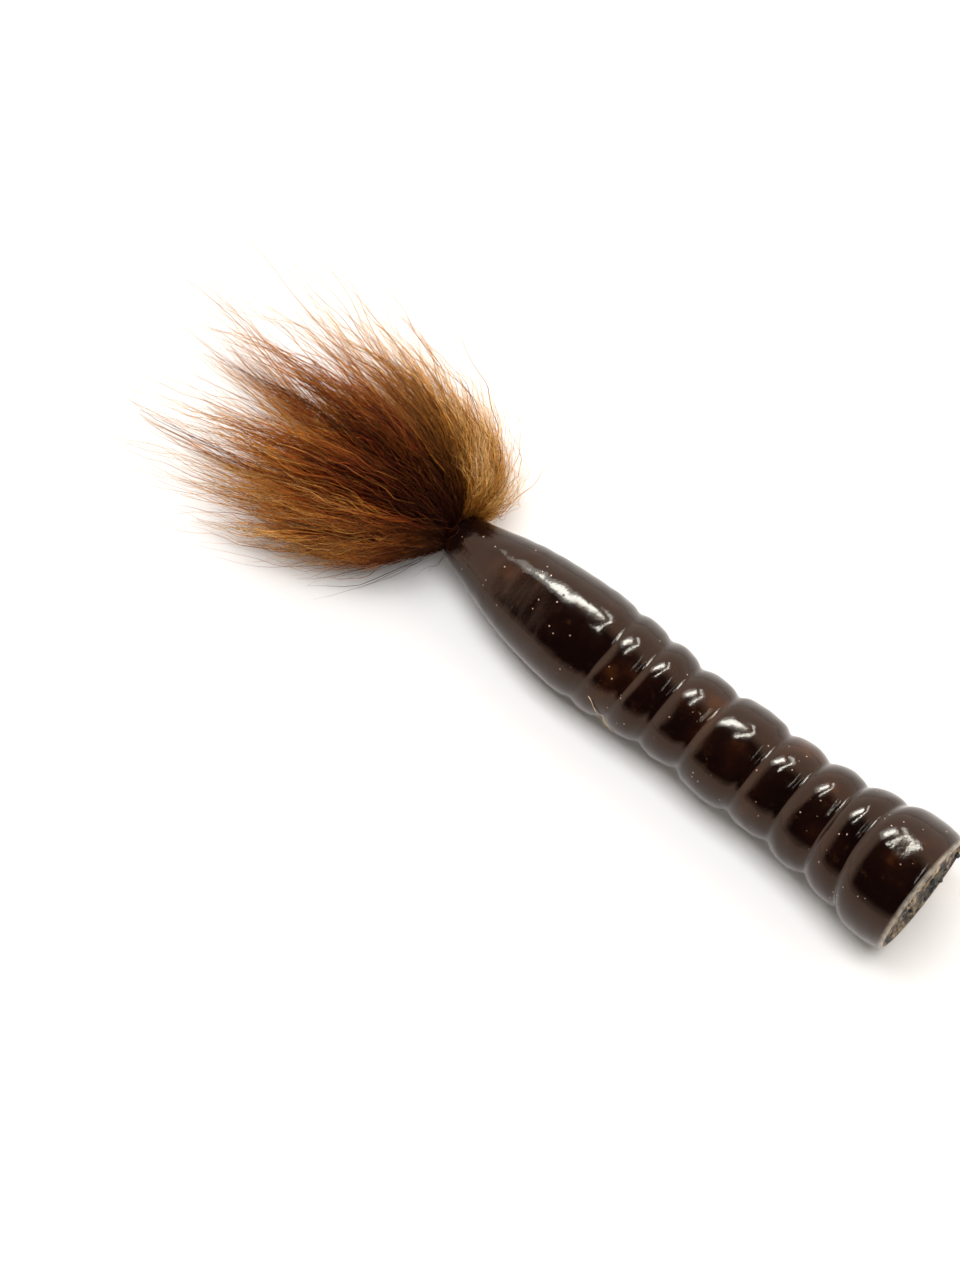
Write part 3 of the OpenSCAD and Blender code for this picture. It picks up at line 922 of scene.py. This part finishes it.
# ---------------------------------------------------------------- inner pieces keep their CAD shape
inner_looks = {
    "socket_glue": rough_material("amber_glue", (0.30, 0.17, 0.05), (0.55, 0.38, 0.16), 400,
                                  (0.15, 0.35), 0.1 * MM),
    "root_thread": rough_material("hemp_thread", (0.38, 0.31, 0.20), (0.66, 0.58, 0.42), 2600,
                                  (0.7, 0.95), 0.1 * MM),
    "root_seal": rough_material("scorched_resin", (0.01, 0.007, 0.004), (0.09, 0.05, 0.025), 900,
                                (0.3, 0.7), 0.2 * MM),
    "hair_root": rough_material("packed_hair", (0.012, 0.005, 0.003), (0.07, 0.028, 0.012), 1500,
                                (0.4, 0.7), 0.3 * MM, stretch=(0.05, 1.0, 1.0)),
}
for node, material in inner_looks.items():
    data = frame["nodes"][node].data
    data.materials.clear()
    data.materials.append(material)


# ---------------------------------------------------------------- studio
def make_floor():
    """A plain pale table top."""
    size = 3.0
    mesh = bpy.data.meshes.new("studio_floor")
    corners = [(-size, -size, 0), (size, -size, 0), (size, size, 0), (-size, size, 0)]
    mesh.from_pydata(corners, [], [(0, 1, 2, 3)])
    floor = link(mesh, "studio_floor")
    material, nodes, links, shader = new_material("white_sweep")
    place = nodes.new("ShaderNodeTexCoord").outputs["Object"]
    paper = noise(nodes, links, place, 40, 3)
    links.new(between(nodes, links, paper.outputs["Fac"], 0.3, 0.7, 0.75, 0.9), shader.inputs["Roughness"])
    shader.inputs["Base Color"].default_value = (0.95, 0.92, 0.89, 1)
    shader.inputs["Specular IOR Level"].default_value = 0.1
    mesh.materials.append(material)


def direction(lengthwise, around_deg):
    """A direction from the brush: how far it lies along X, and its angle about X from the +Y horizon."""
    rest = math.sqrt(1 - lengthwise ** 2)
    around = math.radians(around_deg)
    return Vector((lengthwise, rest * math.cos(around), rest * math.sin(around)))


def add_light(name, start, end, width_deg, brightness, colour=(1, 1, 1), reflection_only=True):
    """A soft strip between two directions from the brush, facing it. brightness is its radiance.
    It is either a reflection in the glaze or a light that falls on everything, never both."""
    distance = 0.9
    start, end = direction(*start), direction(*end)
    towards = (start + end).normalized()
    along = end - start
    length_axis = (along - along.dot(towards) * towards).normalized()
    width_axis = towards.cross(length_axis)
    data = bpy.data.lights.new(name, "AREA")
    data.shape = "RECTANGLE"
    data.size = distance * along.length
    data.size_y = distance * math.radians(width_deg)
    data.energy = brightness * math.pi * data.size * data.size_y
    data.color = colour
    lamp = bpy.data.objects.new(name, data)
    turn = Matrix((length_axis, width_axis, towards)).transposed().to_4x4()
    lamp.matrix_world = Matrix.Translation(towards * distance) @ turn
    lamp.visible_glossy = reflection_only
    lamp.visible_diffuse = not reflection_only
    bpy.context.scene.collection.objects.link(lamp)


def make_world():
    """White surroundings with one dark part: over the brush and a little to its front, but not where
    the tuft points."""
    world = bpy.data.worlds.new("studio")
    world.use_nodes = True
    nodes, links = world.node_tree.nodes, world.node_tree.links
    nodes.clear()
    output = nodes.new("ShaderNodeOutputWorld")
    background = nodes.new("ShaderNodeBackground")
    links.new(background.outputs["Background"], output.inputs["Surface"])
    place = nodes.new("ShaderNodeTexCoord").outputs["Generated"]
    flat = nodes.new("ShaderNodeVectorMath")
    flat.operation = "MULTIPLY"
    flat.inputs[1].default_value = (0, 1, 1)
    links.new(place, flat.inputs[0])
    level = nodes.new("ShaderNodeVectorMath")
    level.operation = "NORMALIZE"
    links.new(flat.outputs["Vector"], level.inputs[0])
    dot = nodes.new("ShaderNodeVectorMath")
    dot.operation = "DOT_PRODUCT"
    links.new(level.outputs["Vector"], dot.inputs[0])
    dot.inputs[1].default_value = direction(0, 121)
    split = nodes.new("ShaderNodeSeparateXYZ")
    links.new(place, split.inputs["Vector"])
    outer_cos, inner_cos = math.cos(math.radians(67)), math.cos(math.radians(46))
    across = between(nodes, links, dot.outputs["Value"], outer_cos, inner_cos, 0, 1)
    lengthwise = between(nodes, links, split.outputs["X"], -0.72, -0.52, 0, 1)
    unlit = product(nodes, links, across, lengthwise)
    links.new(between(nodes, links, unlit, 0, 1, 1.65, 0.012), background.inputs["Strength"])
    background.inputs["Color"].default_value = (1, 0.93, 0.85, 1)
    bpy.context.scene.world = world


def make_camera():
    """Seen from above the tail end's front, with a long lens."""
    azimuth, elevation, distance = math.radians(41.5), math.radians(65), 0.656
    aim = Vector((-8.85 * MM, -9.9 * MM, 0))
    level = math.cos(elevation)
    towards = Vector((math.sin(azimuth) * level, -math.cos(azimuth) * level, math.sin(elevation)))
    data = bpy.data.cameras.new("camera")
    data.lens = 100
    data.clip_start, data.clip_end = 0.01, 20
    camera = bpy.data.objects.new("camera", data)
    camera.location = aim + towards * distance
    camera.rotation_euler = towards.to_track_quat("Z", "Y").to_euler()
    bpy.context.scene.collection.objects.link(camera)
    bpy.context.scene.camera = camera


make_floor()
make_world()
daylight = (0.57, 0.84, 1.0)
add_light("long_window", (-0.32, 50), (-0.54, 67), 9, 44, daylight)
add_light("window_glow", (-0.32, 50), (-0.63, 71), 20, 6, daylight)
add_light("small_window", (-0.26, 38), (-0.12, 48), 5, 20, daylight)
add_light("middle_window", (-0.08, 48), (-0.26, 84), 2.2, 66, daylight)
add_light("far_window", (0.42, 58), (0.54, 100), 1.2, 24, daylight)
for i, (start_deg, end_deg) in enumerate([(5, 60), (60, 110), (110, 165)]):
    add_light(f"tail_window_{i}", (0.84, start_deg), (0.84, end_deg), 9, 5.5, daylight)
add_light("overhead", (0.0, 80), (0.0, 107), 65, 6.4, (0.94, 0.97, 1.0), reflection_only=False)
add_light("front_fill", (0.0, 120), (0.0, 160), 60, 0.2, reflection_only=False)
make_camera()
bpy.context.scene.view_settings.view_transform = "Standard"
